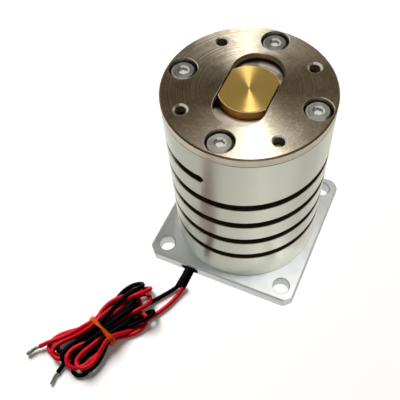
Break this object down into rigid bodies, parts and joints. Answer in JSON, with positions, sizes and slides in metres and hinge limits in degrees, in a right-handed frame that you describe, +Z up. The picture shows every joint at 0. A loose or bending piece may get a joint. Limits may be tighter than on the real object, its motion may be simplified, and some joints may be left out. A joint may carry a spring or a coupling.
{
  "type": "voice coil motor",
  "caption": "Cylindrical voice coil motor: a helically slotted spring wall on a square base carries a round cover that slides on a brass post and drives a load.",
  "frame": {"origin": "centre of the base plate's underside, on the motor's axis", "axes": "+Z up along the motor's axis, from the base towards the cover; +Y along the cover's rounded slot; the leads leave the base's -Y edge"},
  "size_m": [0.0609, 0.0881, 0.057],
  "materials": {
    "base_aluminium": "bead-blasted clear anodised",
    "spring_nickel": "turned steel, satin nickel plate",
    "cover_nickel": "face-turned steel, nickel plate with circular tool marks",
    "screw_steel": "zinc-plated steel",
    "black_screw": "black oxide steel",
    "brass": "face-turned bright brass",
    "carrier_nickel": "polished nickel plate",
    "bush_polymer": "dry-running bearing polymer",
    "magnet_nickel": "nickel-coated sintered magnet",
    "pole_steel": "turned soft iron",
    "spacer_aluminium": "turned",
    "bobbin_plastic": "moulded black",
    "coil_copper": "enamelled copper wire, layer wound",
    "bumper_rubber": "moulded",
    "grommet_rubber": "moulded black",
    "sleeve_black": "shrink sleeve",
    "lead_red": "silicone-insulated lead",
    "lead_black": "silicone-insulated lead",
    "band_orange": "translucent rubber band",
    "tinned_wire": "tinned stranded copper"
  },
  "bodies": {
    "stator": {"base_plate": "base_aluminium", "base_screws": "black_screw", "spring_body": "spring_nickel", "guide_post": "brass", "guide_post_screw": "black_screw", "coil_bobbin": "bobbin_plastic", "upper_coil": "coil_copper", "lower_coil": "coil_copper", "bobbin_screws": "black_screw", "coil_leads": "coil_copper", "lower_bumper": "bumper_rubber", "cable_grommet": "grommet_rubber", "lead_sleeve": "sleeve_black", "red_lead": "lead_red", "black_lead": "lead_black", "lead_hank": "lead_red", "rubber_band": "band_orange", "red_tail": "lead_red", "black_tail": "lead_black", "red_tip": "tinned_wire", "black_tip": "tinned_wire"},
    "mover": {"top_cover": "cover_nickel", "cover_screws": "screw_steel", "magnet_carrier": "carrier_nickel", "upper_bush": "bush_polymer", "lower_bush": "bush_polymer", "magnet_ring": "magnet_nickel", "upper_pole": "pole_steel", "lower_pole": "pole_steel", "magnet_spacer": "spacer_aluminium", "clamp_nut": "screw_steel"}
  },
  "joints": [
    {"name": "cover_slide", "type": "slide", "parent": "stator", "child": "mover", "axis": [0, 0, 1], "range_m": [-0.002, 0.002], "stiffness_N_per_m": 7000, "springref_m": 0.0001, "deforming": ["spring_body"]}
  ]
}
